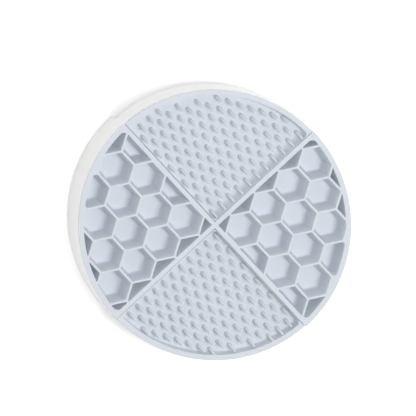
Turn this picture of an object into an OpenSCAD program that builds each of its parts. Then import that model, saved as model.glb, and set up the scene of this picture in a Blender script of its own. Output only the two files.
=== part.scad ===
// Round lick mat for a pet: a rigid white base with two deep skirts and two finger
// arches, a bow-tie shaped silicone frame with honeycomb cells, and two silicone
// trays with upright nubs that fill the open quarters of the frame.
// The origin is the middle of the underside, on the table. +Z is up, +Y is to the rear.

/* [Mat outline] */
// Outer diameter over the lip of the honeycomb frame
mat_d = 150; // [130:1:190]
// Width of the rim band seen from above
rim_w = 2.9; // [2.6:0.1:4]
// Thickness of the lip that lies over the wall of the base
lip_t = 0.9; // [0.7:0.1:1.6]
// Width of the two crossing dividers at the top
divider_w = 2.5; // [2:0.1:4]
// Thickness of a silicone floor
floor_t = 1.4; // [1:0.1:2.5]

/* [Honeycomb cells] */
// Depth of a honeycomb cell
cell_depth = 8.8; // [7:0.1:11]
// Distance between the middles of two neighbouring cells
cell_pitch = 17.95; // [15:0.05:20]
// Thickness of a cell wall at the top
cell_wall = 1.2; // [0.8:0.1:2]
// How far a cell wall slopes inward from the top to the floor
cell_draft = 1.7; // [1:0.1:2.2]
// Distance from the divider to the middles of the first full row of cells
cell_row_start = 12.75; // [12:0.05:14]
// Distance along that row from the other divider to the first middle
cell_step_start = 10.1; // [9.5:0.1:11]

/* [Nub trays] */
// How far the lip of a tray stands back from the lip of the honeycomb frame
tray_setback = 0.55; // [0.2:0.05:1]
// How far the top of a tray lies below the top of the dividers
tray_drop = 0.25; // [0.1:0.05:1]
// How far the floor of a tray lies above the floors of the cells
tray_rise = 3.6; // [2.4:0.1:4.2]
// How far the rear tray slopes inward beside the divider that runs to the right rear
tray_draft = 3.9; // [1:0.1:4.5]
// How far the rim and all other walls of the two trays slope inward
tray_rim_draft = 0.8; // [0.4:0.1:1.6]

/* [Nubs] */
// Distance between the middles of two neighbouring nubs
nub_pitch = 6.4; // [5.6:0.1:8]
// Diameter of a nub at the floor
nub_d = 2.4; // [2:0.1:2.8]
// Diameter of the round tip of a nub
nub_tip_d = 1; // [0.8:0.1:1.6]
// How far the tips of the nubs lie below the top of the dividers
nub_drop = 0.6; // [0.3:0.1:1.6]
// Angle by which a nub leans over from the upright
nub_lean = 34; // [0:1:38]
// Direction in which the nubs lean, counted from the right side of the mat to its rear
nub_lean_side = -49; // [-90:1:0]
// Place of the first rear nub along and across the divider that runs to the right rear
rear_nub_start = [4.05, 5.15]; // [3:0.05:6]
// Place of the first front nub along and across the divider that runs to the left front
front_nub_start = [3.35, 5.85]; // [2.8:0.05:7]

/* [Base] */
// How far the wall of the base stands back from the edge of the lip over it
wall_inset = 0.3; // [0.2:0.05:0.6]
// Thickness of the wall around the mat
wall_t = 1.4; // [1:0.1:1.5]
// Thickness of the deck that the silicone rests on
deck_t = 1.5; // [1.2:0.1:3]
// Height of the finger arches at the front and the rear
arch_h = 6.4; // [4:0.1:12]
// Thickness of the two deep skirts
skirt_t = 1.8; // [1.2:0.1:3]
// Radius of the fillet where an arch runs into a skirt
arch_fillet_r = 2.2; // [1:0.1:3]

/* [Feet] */
// Diameter of an anti-slip pad
pad_d = 10; // [6:0.5:14]
// Thickness of an anti-slip pad
pad_t = 1.6; // [1.2:0.1:2.4]
// How far a pad stands out below the skirts
pad_proud = 0.3; // [0.2:0.05:0.8]
// Wall and end thickness of the cup that holds a pad
cup_t = 1.5; // [1:0.1:2.5]
// Angle between the middle line of a skirt and a pad
pad_angle = 32; // [20:1:38]

/* [Clearances] */
// Gap between the silicone and the wall of the base
fit_gap = 0.3; // [0.2:0.05:0.4]
// Gap between a tray and the divider beside it
side_gap = 0.2; // [0.15:0.05:0.4]
// Gap between the lip and the top of the wall
lip_gap = 0.15; // [0.1:0.05:0.3]
// Gap around a pad in its cup
pad_gap = 0.1; // [0.05:0.05:0.3]

/* [Hidden] */

$fn = 96;
// Overrun of every cut
over = 1;
// Fineness of the round nubs
nub_fn = 16;

white = [0.95, 0.95, 0.95];
silicone = [0.8, 0.84, 0.89];
rubber = [0.55, 0.58, 0.62];

mat_r = mat_d / 2;
base_r = mat_r - wall_inset;
seat_r = base_r - wall_t - fit_gap;
rim_r = mat_r - rim_w;
deck_z = pad_proud + arch_h;
deck_top = deck_z + deck_t;
cell_floor = deck_top + floor_t;
rim_top = cell_floor + cell_depth;
lip_z = rim_top - lip_t;
wall_top = lip_z - lip_gap;
tray_top = rim_top - tray_drop;
tray_depth = cell_depth - tray_rise;
tray_lip_r = mat_r - tray_setback;
tray_rim_r = rim_r - tray_setback;
// Half the angle of a quarter of the mat
quarter_a = 45;
divider_half = divider_w / 2;
tray_side = divider_half + side_gap;
// Width of the narrow land on top of a tray wall
tray_land = 0.25;

cell_row = cell_pitch * sin(60);
cell_corner = (cell_pitch - cell_wall) / 2 / cos(30);
cell_corner_low = cell_corner - cell_draft / cos(30);
// A cell cut by a divider or by the rim is left out when its middle lies further
// beyond that edge than these shares of the pitch
divider_cell_share = 0.22;
rim_cell_share = 0.36;
cell_count = ceil(mat_d / cell_row);

nub_row = nub_pitch * sin(60);
nub_count = ceil(mat_d / nub_row);
// Height of a nub above the floor of its tray, the place of the middle of its tip
// above the floor, and how far that middle leans out from the foot
nub_h = tray_depth - nub_drop;
nub_tip_z = nub_h - nub_tip_d / 2;
nub_reach = nub_tip_z * tan(nub_lean);

cup_r = pad_d / 2 + pad_gap + cup_t;
pad_r = base_r - skirt_t - cup_r - fit_gap;
pocket_top = pad_t + pad_gap;

// Everything beyond a straight wall that starts at the given distance from the
// X axis at the height of the divider tops and leans out by the draft over the depth
module beyond(start, draft, depth) {
    translate([0, start, rim_top])
        rotate([atan2(draft, depth), 0, 0])
            translate([-mat_d, 0, -mat_d])
                cube([mat_d * 2, mat_d, mat_d * 2]);
}

// Hollow of the quarter between the X and the Y axis: it lies inside the rim and
// beyond the drafted walls that run along the two axes
module quarter_hollow(rim, rim_draft, side_x, draft_x, side_y, draft_y, depth) {
    intersection() {
        translate([0, 0, rim_top - depth])
            cylinder(h = depth + over, r1 = rim - rim_draft, r2 = rim + rim_draft * over / depth);
        beyond(side_x, draft_x, depth);
        rotate([0, 0, -90])
            beyond(side_y, draft_y, depth);
    }
}

// Places of the cells of one quarter, along and across the first divider
function cell_x(i, j) = cell_step_start + i * cell_pitch - (j % 2 == 0 ? 0 : cell_pitch / 2);
function cell_y(j) = cell_row_start + j * cell_row;
function cell_kept(x, y) =
    x > -cell_pitch * divider_cell_share
    && y > -cell_pitch * divider_cell_share
    && norm([x, y]) < rim_r + cell_pitch * rim_cell_share;

// One tapered six-sided cell with corners to the front and the rear
module cell() {
    rise = cell_depth + over;
    spread = cell_corner_low + (cell_corner - cell_corner_low) * rise / cell_depth;
    translate([0, 0, cell_floor])
        rotate([0, 0, 30])
            linear_extrude(height = rise, scale = spread / cell_corner_low)
                circle(r = cell_corner_low, $fn = 6);
}

// Cells of one honeycomb quarter, cut off at the rim and at both dividers
module honeycomb_cells() {
    intersection() {
        quarter_hollow(rim_r, cell_draft, divider_half, cell_draft, divider_half, cell_draft, cell_depth);
        for (j = [-1:cell_count]) {
            for (i = [0:cell_count]) {
                if (cell_kept(cell_x(i, j), cell_y(j))) {
                    translate([cell_x(i, j), cell_y(j), 0])
                        cell();
                }
            }
        }
    }
}

// Solid disc with the lip that lies over the wall of the base
module mat_blank(lip_r, top) {
    rotate_extrude()
        polygon([
            [0, deck_top],
            [seat_r, deck_top],
            [seat_r, lip_z],
            [lip_r, lip_z],
            [lip_r, top],
            [0, top]
        ]);
}

// Open quarter between the dividers, to the rear, widened or narrowed by its distance
module rear_quarter(side) {
    translate([0, side / sin(quarter_a), deck_z])
        rotate([0, 0, quarter_a])
            cube([mat_d, mat_d, rim_top]);
}

// One upright nub: a slim cone with a round tip and a root below the floor
module nub() {
    tip_r = nub_tip_d / 2;
    root = nub_d / 2;
    length = nub_tip_z / cos(nub_lean);
    rotate_extrude($fn = nub_fn)
        intersection() {
            union() {
                polygon([
                    [0, -root],
                    [nub_d / 2, -root],
                    [nub_d / 2, 0],
                    [tip_r, length],
                    [0, length]
                ]);
                translate([0, length])
                    circle(r = tip_r, $fn = nub_fn);
            }
            translate([0, -root])
                square([nub_d, root + length + nub_tip_d]);
        }
}

// Nubs of one tray in staggered rows that run along the first divider
module nubs(start, turn) {
    near = tray_side + nub_d / 2;
    far = tray_rim_r - tray_rim_draft - nub_d / 4;
    tip_far = seat_r - nub_tip_d / 2;
    aside = nub_lean_side - turn;
    for (j = [0:nub_count]) {
        for (i = [-1:nub_count]) {
            x = start[0] + i * nub_pitch + (j % 2) * nub_pitch / 2;
            y = start[1] + j * nub_row;
            tip = [x + nub_reach * cos(aside), y + nub_reach * sin(aside)];
            if (x > near && norm([x, y]) < far && norm(tip) < tip_far) {
                translate([x, y, rim_top - tray_depth])
                    rotate([0, 0, aside])
                        rotate([0, nub_lean, 0])
                            nub();
            }
        }
    }
}

// A tray in the quarter that starts at the given turn, with the given slope beside
// the divider along which its quarter starts
module nub_tray(start, turn, slope) {
    rotate([0, 0, turn]) {
        difference() {
            intersection() {
                mat_blank(tray_lip_r, tray_top);
                translate([tray_side, tray_side, deck_z])
                    cube([mat_d, mat_d, rim_top]);
            }
            quarter_hollow(
                tray_rim_r, tray_rim_draft,
                tray_side + tray_land, slope,
                tray_side + tray_land, tray_rim_draft, tray_depth);
        }
        nubs(start, turn);
    }
}

// Rigid base: wall, deck, two deep skirts with arches between them, four foot cups
module base_shell() {
    color(white) {
        rotate_extrude()
            polygon([
                [0, deck_z],
                [base_r, deck_z],
                [base_r, wall_top],
                [base_r - wall_t, wall_top],
                [base_r - wall_t, deck_top],
                [0, deck_top]
            ]);
        skirts();
        for (side = [0, 180]) {
            for (a = [-pad_angle, pad_angle]) {
                rotate([0, 0, side + a])
                    translate([pad_r, 0, 0])
                        foot_cup();
            }
        }
    }
}

// Two deep skirts under the honeycomb quarters, with a fillet at each end
module skirts() {
    intersection() {
        translate([0, 0, pad_proud])
            difference() {
                cylinder(h = arch_h + deck_t / 2, r = base_r);
                translate([0, 0, -over])
                    cylinder(h = arch_h + deck_t + over * 2, r = base_r - skirt_t);
            }
        union() {
            for (side = [0, 180]) {
                rotate([0, 0, side - quarter_a])
                    cube([mat_d, mat_d, deck_top]);
                for (turn = [0, 1]) {
                    rotate([0, 0, side])
                        mirror([0, turn, 0])
                            rotate([0, 0, quarter_a])
                                arch_fillet();
                }
            }
        }
    }
}

// Fillet block where an arch runs into the end of a skirt
module arch_fillet() {
    rotate([90, 0, 90])
        linear_extrude(height = mat_d)
            difference() {
                translate([-over, deck_z - arch_fillet_r])
                    square([arch_fillet_r + over, arch_fillet_r + deck_t / 2]);
                translate([arch_fillet_r, deck_z - arch_fillet_r])
                    circle(r = arch_fillet_r);
            }
}

// Cup under the deck that holds one anti-slip pad
module foot_cup() {
    end_z = pocket_top + cup_t;
    difference() {
        translate([0, 0, pad_proud])
            cylinder(h = deck_z - pad_proud + deck_t / 2, r = cup_r);
        translate([0, 0, -over])
            cylinder(h = pocket_top + over, r = pad_d / 2 + pad_gap);
        translate([0, 0, end_z])
            cylinder(h = deck_z - end_z, r = cup_r - cup_t);
    }
}

// Silicone frame: two honeycomb quarters joined by the crossing dividers
module honeycomb_frame() {
    color(silicone)
        difference() {
            mat_blank(mat_r, rim_top);
            rear_quarter(divider_half);
            rotate([0, 0, 180])
                rear_quarter(divider_half);
            for (side = [0, 180]) {
                rotate([0, 0, side])
                    rotate([0, 0, quarter_a])
                        mirror([0, 1, 0])
                            honeycomb_cells();
            }
        }
}

// Silicone tray of the rear quarter
module nub_tray_rear() {
    color(silicone)
        nub_tray(rear_nub_start, quarter_a, tray_draft);
}

// Silicone tray of the front quarter
module nub_tray_front() {
    color(silicone)
        nub_tray(front_nub_start, quarter_a + 180, tray_rim_draft);
}

// One anti-slip pad, seated in the cup at the given angle
module foot_pad(angle) {
    color(rubber)
        rotate([0, 0, angle])
            translate([pad_r, 0, 0])
                cylinder(h = pad_t, r = pad_d / 2);
}

module foot_pad_left_rear() {
    foot_pad(180 - pad_angle);
}

module foot_pad_left_front() {
    foot_pad(180 + pad_angle);
}

module foot_pad_right_rear() {
    foot_pad(pad_angle);
}

module foot_pad_right_front() {
    foot_pad(-pad_angle);
}

base_shell();
honeycomb_frame();
nub_tray_rear();
nub_tray_front();
foot_pad_left_rear();
foot_pad_left_front();
foot_pad_right_rear();
foot_pad_right_front();
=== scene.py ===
"""Round lick mat for a pet: a white base with a silicone honeycomb frame and two nub trays."""

import math

import bpy
from mathutils import Matrix, Vector
from mathutils.geometry import delaunay_2d_cdt


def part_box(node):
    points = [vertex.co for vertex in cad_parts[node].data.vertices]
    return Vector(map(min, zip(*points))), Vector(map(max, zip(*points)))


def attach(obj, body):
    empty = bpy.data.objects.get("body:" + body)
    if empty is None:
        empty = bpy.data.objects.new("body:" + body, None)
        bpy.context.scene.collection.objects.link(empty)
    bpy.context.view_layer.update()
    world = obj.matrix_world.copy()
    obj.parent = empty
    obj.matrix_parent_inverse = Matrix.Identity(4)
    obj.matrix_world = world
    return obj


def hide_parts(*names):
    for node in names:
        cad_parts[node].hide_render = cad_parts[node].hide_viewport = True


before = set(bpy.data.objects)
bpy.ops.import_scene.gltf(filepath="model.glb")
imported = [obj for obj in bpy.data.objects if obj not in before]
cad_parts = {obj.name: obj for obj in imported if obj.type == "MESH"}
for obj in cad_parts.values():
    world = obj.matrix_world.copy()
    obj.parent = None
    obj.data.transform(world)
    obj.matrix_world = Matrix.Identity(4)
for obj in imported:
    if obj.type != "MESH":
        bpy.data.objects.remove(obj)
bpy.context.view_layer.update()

# Camera. The photograph keeps the mat's rim a true circle while the far side of every cell
# wall shows, as a view camera does when its back stays level with the mat and its lens is
# moved to one side. The lean of that view is a shear on the camera's parent.
mm = 0.001
rim_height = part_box("honeycomb_frame")[1].z
view_width = 228.7 * mm
view_distance = 3.0
view_end = 10.0
view_roll = math.radians(2.3)
lean_share = 0.5
lean_side = math.radians(141.6)
photo_pixels = 416
mat_middle = (215.1, 225.3)
sensor_width = 36

lean_across = lean_share * math.cos(lean_side + view_roll)
lean_up = lean_share * math.sin(lean_side + view_roll)
pixel = view_width / photo_pixels
aim = Matrix.Rotation(view_roll, 2) @ Vector((
    (photo_pixels / 2 - mat_middle[0]) * pixel,
    (mat_middle[1] - photo_pixels / 2) * pixel,
))
lean = bpy.data.objects.new("camera_lean", None)
bpy.context.scene.collection.objects.link(lean)
camera = bpy.data.objects.new("camera", bpy.data.cameras.new("camera"))
bpy.context.scene.collection.objects.link(camera)
camera.parent = lean
camera.matrix_parent_inverse = Matrix((
    (1, 0, lean_across, 0),
    (0, 1, lean_up, 0),
    (0, 0, 1, 0),
    (0, 0, 0, 1),
))
camera.location = (
    aim.x - lean_across * rim_height,
    aim.y - lean_up * rim_height,
    rim_height + view_distance,
)
camera.rotation_euler = (0, 0, view_roll)
camera.data.sensor_width = sensor_width
camera.data.lens = view_distance * sensor_width * math.hypot(1, lean_share) / view_width
camera.data.clip_end = view_end
bpy.context.scene.camera = camera
bpy.context.scene.view_settings.view_transform = "Standard"

# Honeycomb frame. One soft silicone moulding shaped like a bow-tie: two quarters of
# six-sided cells, the crossing dividers between them and the rim with its lip. It lies
# loose on the deck of the base, and its lip covers the wall of the base.
mat_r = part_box("honeycomb_frame")[1].x
rim_width = 2.9 * mm
rim_r = mat_r - rim_width
divider_half = 1.25 * mm
lip_reach = 2.0 * mm
seat_r = mat_r - lip_reach
lip_thickness = 0.9 * mm
lip_under = rim_height - lip_thickness
lip_round = 0.15 * mm
frame_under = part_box("honeycomb_frame")[0].z
under_edge = 0.3 * mm
cell_pitch = 17.95 * mm
cell_row = cell_pitch * math.sin(math.radians(60))
cell_wall = 1.2 * mm
cell_half = (cell_pitch - cell_wall) / 2
cell_depth = 8.8 * mm
cell_draft = 1.7 * mm
cell_edge = 0.28 * mm
cell_corner = 0.3 * mm
cell_fillet = 1.3 * mm
cell_start = (10.1 * mm, 12.75 * mm)
# a cell whose middle lies further than this past a divider or the rim leaves no pocket
past_divider = 0.22 * cell_pitch
past_rim = 0.36 * cell_pitch
rim_corner = 3.0 * mm
frame_edge = 0.3 * mm
divider_end_r = 0.9 * mm
ring_points = 72
turn_steps = 4
quarter = math.radians(45)
upright = math.radians(90)
silicone_colours = ("d3d9e0", "dae0e7")


def clip(outline, across, up, reach):
    """The part of a convex outline on the near side of a line."""
    kept = []
    for a, b in zip(outline, outline[1:] + outline[:1]):
        over_a = across * a[0] + up * a[1] - reach
        over_b = across * b[0] + up * b[1] - reach
        if over_a <= 0:
            kept.append(a)
        if over_a * over_b < 0:
            share = over_a / (over_a - over_b)
            kept.append((a[0] + share * (b[0] - a[0]), a[1] + share * (b[1] - a[1])))
    return kept


def pocket_outline(walls, share, inset, corner):
    """Corners of a pocket at one depth: each wall is (across, up, reach, draft, edge).

    Share is how much of the draft is used up at that depth. A negative inset counts in edge
    radii and widens the pocket.
    """
    far = 2 * mat_r
    outline = [(-far, -far), (far, -far), (far, far), (-far, far)]
    for across, up, reach, draft, edge in walls:
        back = draft * share + (inset if inset >= 0 else inset * edge) + corner
        outline = clip(outline, across, up, reach - back)
    return outline


def pocket_ring(walls, share, inset, corner, points=ring_points):
    """The same outline with round corners, always with the same number of points."""
    outline = pocket_outline(walls, share, inset, corner)
    ring = []
    for k in range(points):
        angle = math.tau * (k + 0.5) / points
        across, up = math.cos(angle), math.sin(angle)
        tip = max(outline, key=lambda p: p[0] * across + p[1] * up)
        ring.append((tip[0] + corner * across, tip[1] + corner * up))
    return ring


def pocket_rings(walls, depth, edge, fillet, corner, points=ring_points, cove=False):
    """Rings (depth, outline) from the rounded upper edge down to the floor fillet.

    The walls slope evenly, or, as a cove, drop upright and then curve out into the floor.
    A pocket with little room has smaller radii and steeper walls, so that a floor is left.
    """
    room_step = 0.05 * mm
    least_floor = 0.1 * mm
    small_corner, small_fillet = 0.15 * mm, 0.2 * mm
    room = 0.0
    while pocket_outline(walls, 0, room + room_step, 0):
        room += room_step
    draft = max(wall[3] for wall in walls)
    if room < draft + fillet + corner + least_floor:
        corner = min(corner, small_corner)
        fillet = min(fillet, small_fillet)
        steeper = min(1, (room - corner - fillet - least_floor) / draft)
        walls = [(*wall[:3], wall[3] * steeper, wall[4]) for wall in walls]
    rings = []
    for k in range(turn_steps + 1):
        turn = upright * k / turn_steps
        rings.append((edge * (1 - math.cos(turn)), 0, -1 + math.sin(turn)))
    wall_steps = 12 if cove else 4
    for k in range(1, wall_steps):
        z = edge + (depth - fillet - edge) * k / wall_steps
        rings.append((z, 1 - math.sqrt(1 - (z / depth) ** 2) if cove else z / depth, 0))
    fillet_steps = 6
    for k in range(fillet_steps + 1):
        turn = upright * k / fillet_steps
        z = depth - fillet + fillet * math.sin(turn)
        share = 1 - math.sqrt(max(0, 1 - (z / depth) ** 2)) if cove else (depth - fillet) / depth
        rings.append((z, share, fillet * (1 - math.cos(turn))))
    return [(z, pocket_ring(walls, share, inset, corner, points)) for z, share, inset in rings]


def arc_walls(radius, draft, edge, start, stop, step=1.5):
    """Tangents of a circle round the middle of the mat, as pocket walls."""
    count = max(1, round((stop - start) / step))
    for k in range(count + 1):
        angle = math.radians(start + (stop - start) * k / count)
        yield (math.cos(angle), math.sin(angle), radius, draft, edge)


def corner_walls(centre, radius, draft, edge, start, stop, step=7.5):
    """Tangents of the round corner where a divider runs into the rim."""
    for k in range(round((stop - start) / step) + 1):
        angle = math.radians(start + step * k)
        across, up = math.cos(angle), math.sin(angle)
        yield (across, up, centre[0] * across + centre[1] * up + radius, draft, edge)


def quarter_walls(side, radius, draft, edge, corner):
    """Walls that bound every pocket of a quarter: two dividers, the rim and its corners."""
    middle = side + corner
    far = math.sqrt((radius - corner) ** 2 - middle**2)
    low = math.degrees(math.asin(middle / (radius - corner)))
    walls = [(-1, 0, -side, draft, edge), (0, -1, -side, draft, edge)]
    walls += arc_walls(radius, draft, edge, low, 90 - low)
    walls += corner_walls((far, middle), corner, draft, edge, -90, low)
    walls += corner_walls((middle, far), corner, draft, edge, 90 - low, 180)
    return walls


def cell_walls(x, y, around):
    """Six walls of a cell and those walls of the quarter that cut it."""
    walls = []
    for k in range(6):
        angle = math.radians(60 * k)
        across, up = math.cos(angle), math.sin(angle)
        walls.append((across, up, x * across + y * up + cell_half, cell_draft, cell_edge))
    corners = pocket_outline(walls, 0, 0, 0)
    near = [
        wall for wall in around
        if max(wall[0] * p[0] + wall[1] * p[1] for p in corners) > wall[2] - cell_draft
    ]
    return walls + near


def bow_tie(radius, half, corner):
    """Outline of the frame: two arcs and the edges of the dividers that meet between them."""
    points = []
    inner = radius - corner
    tilt = math.asin((half - corner) / inner)
    corner_steps, arc_steps = 5, 60
    for side in (0, math.pi):
        for end in (-1, 1):
            middle = side + end * (quarter + tilt)
            centre = (inner * math.cos(middle), inner * math.sin(middle))
            square = side + end * (quarter + upright)
            turns = [
                middle + (square - middle) * k / corner_steps for k in range(corner_steps + 1)
            ]
            for turn in turns if end > 0 else reversed(turns):
                across, up = corner * math.cos(turn), corner * math.sin(turn)
                points.append((centre[0] + across, centre[1] + up))
            if end < 0:
                for k in range(1, arc_steps):
                    angle = side + (quarter + tilt) * (2 * k / arc_steps - 1)
                    points.append((radius * math.cos(angle), radius * math.sin(angle)))
        points.append((0, (half if side == 0 else -half) / math.sin(quarter)))
    return points


class Shell:
    """Points and faces of one moulded piece, gathered ring by ring."""

    def __init__(self):
        self.points = []
        self.faces = []

    def ring(self, outline, z):
        """Adds a ring of points, at one height where they have none, and returns their numbers."""
        first = len(self.points)
        self.points += [(*point, z)[:3] for point in outline]
        return list(range(first, len(self.points)))

    def band(self, upper, lower, inward):
        """Joins two rings. Inward is True where the surface faces the middle of the rings."""
        for k in range(len(upper)):
            n = (k + 1) % len(upper)
            face = (upper[k], upper[n], lower[n], lower[k])
            self.faces.append(face if inward else face[::-1])

    def cover(self, rings, upward):
        """Fills the flat face between an outer ring, which comes first, and the holes in it."""
        numbers = [i for ring in rings for i in ring]
        owner = [k for k, ring in enumerate(rings) for _ in ring]
        edges = []
        for ring in rings:
            first = len(edges)
            edges += [(first + k, first + (k + 1) % len(ring)) for k in range(len(ring))]
        flat = [Vector(self.points[i][:2]) for i in numbers]
        _, _, triangles, sources, _, _ = delaunay_2d_cdt(flat, edges, [], 1, 1e-9)
        for triangle in triangles:
            corners = [sources[k][0] for k in triangle]
            owners = {owner[k] for k in corners}
            # a triangle with its three corners on one hole lies in that hole
            if len(owners) == 1 and owners != {0}:
                continue
            a, b, c = (flat[k] for k in corners)
            face = tuple(numbers[k] for k in corners)
            if ((b - a).cross(c - a) > 0) != upward:
                face = face[::-1]
            self.faces.append(face)

    def piece(self, name, material, body, node):
        """Makes the object, smooth with crisp flats, and hangs it on its body."""
        mesh = bpy.data.meshes.new(name)
        mesh.from_pydata(self.points, [], self.faces)
        mesh.validate()
        mesh.shade_smooth()
        mesh.materials.append(material)
        made = bpy.data.objects.new(name, mesh)
        bpy.context.scene.collection.objects.link(made)
        flats = made.modifiers.new("crisp_flats", "WEIGHTED_NORMAL")
        flats.weight = 100
        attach(made, body)
        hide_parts(node)


def linear(code):
    """An sRGB hex colour as linear RGBA."""
    parts = [int(code[k:k + 2], 16) / 255 for k in (0, 2, 4)]
    return [p / 12.92 if p <= 0.04045 else ((p + 0.055) / 1.055) ** 2.4 for p in parts] + [1]


def add_node(tree, kind, sockets=None, **settings):
    """Adds a node, sets its fields, and fills or links its sockets."""
    made = tree.nodes.new(kind)
    for name, value in settings.items():
        setattr(made, name, value)
    for name, value in (sockets or {}).items():
        if isinstance(value, bpy.types.NodeSocket):
            tree.links.new(value, made.inputs[name])
        else:
            made.inputs[name].default_value = value
    return made


# Silicone moulded in a bead-blasted steel tool: matt, slightly see-through at thin edges,
# so the walls glow a little and nothing on it gives a sharp highlight.
silicone = bpy.data.materials.new("blasted_silicone")
silicone.use_nodes = True
tree = silicone.node_tree
tree.nodes.clear()
place = add_node(tree, "ShaderNodeTexCoord").outputs["Object"]
# pigment clouds 12.5 mm across
clouds = add_node(
    tree, "ShaderNodeTexNoise", {"Vector": place, "Scale": 1 / (12.5 * mm), "Detail": 2}
)
# the blasted grain is about 0.1 mm, drawn at 0.5 mm so that it shows
grain = add_node(
    tree, "ShaderNodeTexNoise", {"Vector": place, "Scale": 1 / (0.5 * mm), "Detail": 3}
)
tint = add_node(
    tree, "ShaderNodeMix",
    {
        "Factor": clouds.outputs["Fac"],
        "A": linear(silicone_colours[0]),
        "B": linear(silicone_colours[1]),
    },
    data_type="RGBA",
)
gloss = add_node(
    tree, "ShaderNodeMapRange",
    {"Value": grain.outputs["Fac"], "To Min": 0.48, "To Max": 0.64},
)
blast = add_node(
    tree, "ShaderNodeBump",
    {"Height": grain.outputs["Fac"], "Strength": 0.12, "Distance": 0.05 * mm},
)
skin = add_node(
    tree, "ShaderNodeBsdfPrincipled",
    {
        "Base Color": tint.outputs[2],
        "Roughness": gloss.outputs[0],
        "Normal": blast.outputs[0],
        "IOR": 1.41,
        "Specular IOR Level": 0.35,
        "Subsurface Weight": 0.15,
        "Subsurface Radius": (1.0, 1.0, 1.0),
        "Subsurface Scale": 0.8 * mm,
    },
)
add_node(tree, "ShaderNodeOutputMaterial", {"Surface": skin.outputs[0]})

shell = Shell()
around = quarter_walls(divider_half, rim_r, cell_draft, cell_edge, rim_corner)
mouths = []
for side in (0, math.pi):
    turn_cos, turn_sin = math.cos(side + quarter), math.sin(side + quarter)
    for j in range(-1, 6):
        for i in range(0, 6):
            x = cell_start[0] + i * cell_pitch - (j % 2) * cell_pitch / 2
            y = cell_start[1] + j * cell_row
            if min(x, y) < -past_divider or math.hypot(x, y) > rim_r + past_rim:
                continue
            rings = []
            for z, outline in pocket_rings(
                cell_walls(x, y, around), cell_depth, cell_edge, cell_fillet, cell_corner
            ):
                placed = [
                    (p * turn_cos + q * turn_sin, p * turn_sin - q * turn_cos) for p, q in outline
                ]
                rings.append(shell.ring(reversed(placed), rim_height - z))
            for upper, lower in zip(rings, rings[1:]):
                shell.band(upper, lower, True)
            shell.faces.append(tuple(rings[-1]))
            mouths.append(rings[0])

rims = []
for k in range(turn_steps + 1):
    turn = upright * k / turn_steps
    back = frame_edge * (1 - math.sin(turn))
    z = rim_height - frame_edge * (1 - math.cos(turn))
    rims.append(shell.ring(bow_tie(mat_r - back, divider_half - back, divider_end_r - back), z))
for reach, back, z in (
    (mat_r, 0, lip_under + lip_round),
    (mat_r - lip_round, 0, lip_under),
    (seat_r, 0, lip_under),
    (seat_r, 0, frame_under + under_edge),
    (seat_r - under_edge, under_edge, frame_under),
):
    rims.append(shell.ring(bow_tie(reach, divider_half - back, divider_end_r - back), z))
for upper, lower in zip(rims, rims[1:]):
    shell.band(upper, lower, False)
shell.cover([rims[0]] + mouths, True)
shell.cover([rims[-1]], False)
shell.piece("silicone_honeycomb_frame", silicone, "frame", "honeycomb_frame")

# Nub trays. Two soft silicone mouldings that fill the open quarters: a shallow tray with
# rows of slim nubs that all lean the same way. Each lies loose between two dividers.
tray_step = 0.55 * mm
tray_lip_r = mat_r - tray_step
tray_rim_r = rim_r - tray_step
tray_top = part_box("nub_tray_rear")[1].z
tray_depth = 5.2 * mm
tray_gap = 0.2 * mm
tray_side = divider_half + tray_gap
tray_land = 0.25 * mm
land_edge = 0.12 * mm
tray_wide_draft = 3.9 * mm
tray_draft = 0.8 * mm
tray_steep_draft = 0.3 * mm
tray_corner = 2.4 * mm
tray_outer_corner = 0.8 * mm
tray_points = 96
tray_edge = 0.3 * mm
tray_under_edge = 0.2 * mm
tray_fillet = 0.7 * mm
nub_pitch = 6.4 * mm
nub_row = nub_pitch * math.sin(math.radians(60))
nub_r = 1.05 * mm
nub_tip_r = 0.5 * mm
nub_end_r = 0.68 * mm
nub_h = 4.6 * mm
nub_foot = 0.2 * mm
foot_margin = 0.5 * mm
nub_heel = 2.2 * mm
nub_bend = math.radians(45.5)
nub_lean = math.radians(34)
nub_lean_side = math.radians(-49)
nub_points = 24
nub_rows = 14


def tray_walls(reach_side, radius, drafts, edge, rim_edge):
    """Walls of a tray quarter, with drafts for those along local X and Y and for the rim."""
    along_x, along_y, rim = drafts
    walls = [(-1, 0, -reach_side, along_y, edge), (0, -1, -reach_side, along_x, edge)]
    walls += arc_walls(radius, rim, rim_edge, 0, 90)
    return walls


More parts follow.
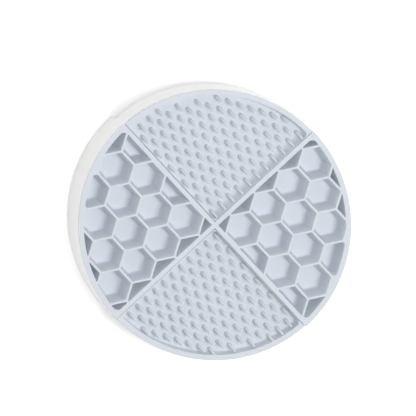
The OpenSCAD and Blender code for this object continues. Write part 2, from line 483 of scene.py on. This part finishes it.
def nub_rings(x, y, floor_z, foot, lean_angle):
    """Rings of one nub: an upright heel that bends over into a slim leaning tongue.

    Foot is the fillet to the floor, or 0 beside a wall, where the nub starts below the floor.
    """
    heel_up = nub_heel * math.sin(nub_bend) / nub_bend
    tongue = (nub_h - nub_end_r - heel_up) / math.cos(nub_bend)
    steps = []
    if foot:
        for k in range(turn_steps):
            turn = upright * k / turn_steps
            steps.append((foot * (1 - math.cos(turn)), nub_r + foot * (1 - math.sin(turn))))
    else:
        steps += [(-nub_r, nub_r), (0, nub_r)]
    length = nub_heel + tongue
    # the rings lie closer together at the heel, and the round end stops short of a point
    long_steps, crowding, end_turns = 12, 1.3, 4.6
    for k in range(1, long_steps + 1):
        along = foot + (length - foot) * (k / long_steps) ** crowding
        steps.append((along, nub_r + (nub_end_r - nub_r) * along / length))
    for k in range(1, turn_steps + 1):
        turn = upright * k / end_turns
        steps.append((length + nub_end_r * math.sin(turn), nub_end_r * math.cos(turn)))
    across, up = math.cos(lean_angle), math.sin(lean_angle)
    bend_r = nub_heel / nub_bend
    rings = []
    for along, radius in steps:
        bent = min(max(along / nub_heel, 0), 1) * nub_bend
        past = max(along - nub_heel, 0)
        middle = bend_r * (1 - math.cos(bent)) + past * math.sin(bent)
        high = bend_r * math.sin(bent) + past * math.cos(bent) + min(along, 0)
        ring = []
        for k in range(nub_points):
            turn = math.tau * k / nub_points
            ahead = middle + radius * math.cos(turn) * math.cos(bent)
            z = floor_z + high - radius * math.cos(turn) * math.sin(bent)
            aside = radius * math.sin(turn)
            ring.append((x + ahead * across - aside * up, y + ahead * up + aside * across, z))
        rings.append(ring)
    return rings


def nub_tray(name, body, node, start, turn, drafts):
    """A tray with its nubs in the quarter that starts at the given turn."""
    shell = Shell()
    turn_cos, turn_sin = math.cos(turn), math.sin(turn)

    def placed(outline):
        return [
            (p * turn_cos - q * turn_sin, p * turn_sin + q * turn_cos, *z) for p, q, *z in outline
        ]

    outer = tray_walls(tray_side, tray_lip_r, (0, 0, 0), 1, 1)
    seat = tray_walls(tray_side, seat_r, (0, 0, 0), 1, 1)
    skirt = []
    for walls, inset, z in (
        (outer, 0.08 * mm, tray_top),
        (outer, 0.02 * mm, tray_top - 0.03 * mm),
        (outer, 0, tray_top - 0.1 * mm),
        (outer, 0, lip_under + 0.1 * mm),
        (outer, 0.1 * mm, lip_under),
        (seat, 0, lip_under),
        (seat, 0, frame_under + tray_under_edge),
        (seat, tray_under_edge, frame_under),
    ):
        outline = pocket_ring(walls, 0, inset, tray_outer_corner, tray_points)
        skirt.append(shell.ring(placed(outline), z))
    for upper, lower in zip(skirt, skirt[1:]):
        shell.band(upper, lower, False)

    hollow = tray_walls(tray_side + tray_land, tray_rim_r, drafts, land_edge, tray_edge)
    rings = []
    drop = rim_height - tray_top
    for z, outline in pocket_rings(
        hollow, tray_depth, tray_edge, tray_fillet, tray_corner, points=tray_points, cove=True
    ):
        depth = tray_top - z * (tray_depth - drop) / tray_depth
        rings.append(shell.ring(placed(outline), depth))
    for upper, lower in zip(rings, rings[1:]):
        shell.band(upper, lower, True)
    shell.cover([skirt[0], rings[0]], True)
    shell.faces.append(tuple(reversed(skirt[-1])))

    floor_z = rim_height - tray_depth
    nub_reach = (nub_h - nub_tip_r) * math.tan(nub_lean)
    aside = nub_lean_side - turn
    feet = []
    for j in range(nub_rows):
        for i in range(-1, nub_rows):
            x = start[0] + i * nub_pitch + (j % 2) * nub_pitch / 2
            y = start[1] + j * nub_row
            tip = (x + nub_reach * math.cos(aside), y + nub_reach * math.sin(aside))
            # a nub stands where both its foot and its tip stay inside the tray
            if (
                x < tray_side + nub_r
                or math.hypot(x, y) > tray_rim_r - tray_draft - nub_r / 2
                or math.hypot(*tip) > seat_r - nub_tip_r
            ):
                continue
            clear = nub_r + nub_foot + tray_fillet + foot_margin
            free = all(
                wall[0] * x + wall[1] * y < wall[2] - wall[3] - clear for wall in hollow
            )
            stack = [
                shell.ring(placed(ring), floor_z)
                for ring in nub_rings(x, y, floor_z, nub_foot if free else 0, aside)
            ]
            for lower, upper in zip(stack, stack[1:]):
                shell.band(upper, lower, False)
            shell.faces.append(tuple(stack[-1]))
            if free:
                feet.append(stack[0])
            else:
                shell.faces.append(tuple(reversed(stack[0])))
    shell.cover([rings[-1]] + feet, True)
    shell.piece(name, silicone, body, node)


nub_tray(
    "silicone_nub_tray_rear", "tray_rear", "nub_tray_rear", (4.05 * mm, 5.15 * mm), quarter,
    (tray_wide_draft, tray_draft, tray_draft),
)
nub_tray(
    "silicone_nub_tray_front", "tray_front", "nub_tray_front", (3.35 * mm, 5.85 * mm),
    quarter + math.pi, (tray_draft, tray_steep_draft, tray_draft),
)

# Base. One injection moulding in white ABS: the wall round the silicone, the deck under it,
# two deep skirts with a finger arch at the front and the rear, and a cup for each foot.
base_edge = 0.25 * mm
abs_colours = ("f6f6f5", "f9f9f8")

# White ABS from a polished tool: smooth and bright, with a soft gloss and a faint waviness.
abs_white = bpy.data.materials.new("moulded_white_abs")
abs_white.use_nodes = True
tree = abs_white.node_tree
tree.nodes.clear()
place = add_node(tree, "ShaderNodeTexCoord").outputs["Object"]
# flow marks of the moulding, 25 mm across
flow = add_node(
    tree, "ShaderNodeTexNoise", {"Vector": place, "Scale": 1 / (25 * mm), "Detail": 2}
)
# polishing marks are finer than 0.1 mm, drawn at 2/3 mm so that they show
fine = add_node(
    tree, "ShaderNodeTexNoise", {"Vector": place, "Scale": 1 / (2 / 3 * mm), "Detail": 2}
)
white = add_node(
    tree, "ShaderNodeMix",
    {
        "Factor": flow.outputs["Fac"],
        "A": linear(abs_colours[0]),
        "B": linear(abs_colours[1]),
    },
    data_type="RGBA",
)
polish = add_node(
    tree, "ShaderNodeMapRange", {"Value": flow.outputs["Fac"], "To Min": 0.28, "To Max": 0.4}
)
ripple = add_node(
    tree, "ShaderNodeBump",
    {"Height": fine.outputs["Fac"], "Strength": 0.05, "Distance": 0.05 * mm},
)
plastic = add_node(
    tree, "ShaderNodeBsdfPrincipled",
    {
        "Base Color": white.outputs[2],
        "Roughness": polish.outputs[0],
        "Normal": ripple.outputs[0],
        "IOR": 1.53,
    },
)
add_node(tree, "ShaderNodeOutputMaterial", {"Surface": plastic.outputs[0]})


def rounded_copy(name, node, edge_r, material):
    """A copy of a CAD piece with the small radius that the outer edges of a moulding have."""
    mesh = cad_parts[node].data.copy()
    mesh.name = name
    mesh.materials.clear()
    mesh.materials.append(material)
    mesh.shade_smooth()
    made = bpy.data.objects.new(name, mesh)
    bpy.context.scene.collection.objects.link(made)
    weld = made.modifiers.new("joined_points", "WELD")
    weld.merge_threshold = 0.002 * mm
    rounding = made.modifiers.new("edge_radius", "BEVEL")
    rounding.width = edge_r
    rounding.segments = 3
    rounding.limit_method = "ANGLE"
    rounding.angle_limit = math.radians(40)
    rounding.use_clamp_overlap = False
    flats = made.modifiers.new("crisp_flats", "WEIGHTED_NORMAL")
    flats.weight = 100
    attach(made, "base")
    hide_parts(node)


rounded_copy("white_base_moulding", "base_shell", base_edge, abs_white)

# Foot pads. Four soft rubber discs, moulded with a rounded edge and glued into the cups of
# the base. They keep the mat from sliding while it is licked.
pad_edge = 0.3 * mm
rubber_colours = ("8b9096", "9aa0a6")

# Grey rubber with fine open pores: dull, so that it shows no highlight.
rubber = bpy.data.materials.new("moulded_grey_rubber")
rubber.use_nodes = True
tree = rubber.node_tree
tree.nodes.clear()
place = add_node(tree, "ShaderNodeTexCoord").outputs["Object"]
# the pores are about 0.3 mm, drawn at 1.4 mm so that they show
pores = add_node(
    tree, "ShaderNodeTexNoise", {"Vector": place, "Scale": 1 / (10 / 7 * mm), "Detail": 4}
)
shade = add_node(
    tree, "ShaderNodeMix",
    {
        "Factor": pores.outputs["Fac"],
        "A": linear(rubber_colours[0]),
        "B": linear(rubber_colours[1]),
    },
    data_type="RGBA",
)
pitting = add_node(
    tree, "ShaderNodeBump",
    {"Height": pores.outputs["Fac"], "Strength": 0.3, "Distance": 0.08 * mm},
)
grip = add_node(
    tree, "ShaderNodeBsdfPrincipled",
    {
        "Base Color": shade.outputs[2],
        "Roughness": 0.8,
        "Normal": pitting.outputs[0],
        "IOR": 1.52,
    },
)
add_node(tree, "ShaderNodeOutputMaterial", {"Surface": grip.outputs[0]})
for side in ("left", "right"):
    for end in ("rear", "front"):
        node = f"foot_pad_{side}_{end}"
        rounded_copy(f"rubber_{node}", node, pad_edge, rubber)

# Studio. A white floor that burns out round the mat but keeps its soft shadow, two broad
# lamps and a white surround that is bright low down and dark overhead.
floor_half = 1.5
floor_corners = ((-1, -1), (1, -1), (1, 1), (-1, 1))
# just under the pads, so that the two faces don't lie in one plane
floor_z = -0.05 * mm
paper_colour = "ececec"
paper_glow = 0.4
corners = [(x * floor_half, y * floor_half, floor_z) for x, y in floor_corners]
floor_mesh = bpy.data.meshes.new("studio_floor")
floor_mesh.from_pydata(corners, [], [(0, 1, 2, 3)])
floor = bpy.data.objects.new("studio_floor", floor_mesh)
bpy.context.scene.collection.objects.link(floor)

paper = bpy.data.materials.new("matt_white_paper")
paper.use_nodes = True
tree = paper.node_tree
tree.nodes.clear()
ray = add_node(tree, "ShaderNodeLightPath")
seen = add_node(
    tree, "ShaderNodeMath", {0: ray.outputs["Is Camera Ray"], 1: ray.outputs["Is Glossy Ray"]},
    operation="MAXIMUM",
)
seen = add_node(
    tree, "ShaderNodeMath", {0: seen.outputs[0], 1: ray.outputs["Is Transmission Ray"]},
    operation="MAXIMUM",
)
sheet = add_node(tree, "ShaderNodeBsdfDiffuse", {"Color": linear(paper_colour)})
glow = add_node(tree, "ShaderNodeEmission", {"Color": (1, 1, 1, 1), "Strength": paper_glow})
lit = add_node(tree, "ShaderNodeAddShader", {0: sheet.outputs[0], 1: glow.outputs[0]})
mixed = add_node(
    tree, "ShaderNodeMixShader", {0: seen.outputs[0], 1: sheet.outputs[0], 2: lit.outputs[0]}
)
add_node(tree, "ShaderNodeOutputMaterial", {"Surface": mixed.outputs[0]})
floor_mesh.materials.append(paper)

low_light = 1.6
overhead_light = 0.06
under_share = 0.55
world = bpy.data.worlds.new("white_surround")
bpy.context.scene.world = world
world.use_nodes = True
tree = world.node_tree
tree.nodes.clear()
ray = add_node(tree, "ShaderNodeLightPath")
# bright at the level of the floor, dark overhead, so that deep pockets stay dark
toward = add_node(tree, "ShaderNodeTexCoord").outputs["Generated"]
height = add_node(tree, "ShaderNodeSeparateXYZ", {"Vector": toward}).outputs["Z"]
sides = add_node(
    tree, "ShaderNodeMapRange",
    {"Value": height, "From Max": 0.7, "To Min": low_light, "To Max": overhead_light},
)
# under the floor it is dimmer, so that the white underside keeps its shape when the mat is
# looked at from below with the floor away
under = add_node(
    tree, "ShaderNodeMapRange",
    {"Value": height, "From Min": -0.02, "From Max": 0.0, "To Min": under_share, "To Max": 1.0},
)
surround = add_node(
    tree, "ShaderNodeMath", {0: sides.outputs[0], 1: under.outputs[0]}, operation="MULTIPLY"
)
strength = add_node(
    tree, "ShaderNodeMapRange",
    {"Value": ray.outputs["Is Camera Ray"], "To Min": surround.outputs[0], "To Max": 1.0},
)
sky = add_node(
    tree, "ShaderNodeBackground", {"Color": (1, 1, 1, 1), "Strength": strength.outputs[0]}
)
add_node(tree, "ShaderNodeOutputWorld", {"Surface": sky.outputs[0]})

# the stronger lamp stands to the right, so that the right walls of the cells are in shade;
# the weaker one stands on the viewer's side and lights the upper side of the leaning nubs
lamp_size = 0.5
for name, place, watts in (
    ("right_softbox", (0.36, 0.03, 1.13), 6.7),
    ("left_rear_softbox", (-0.3, 0.24, 1.15), 4.1),
):
    lamp = bpy.data.objects.new(name, bpy.data.lights.new(name, "AREA"))
    bpy.context.scene.collection.objects.link(lamp)
    lamp.data.size = lamp_size
    lamp.data.energy = watts
    lamp.location = place
    lamp.rotation_euler = (-lamp.location).to_track_quat("-Z", "Y").to_euler()
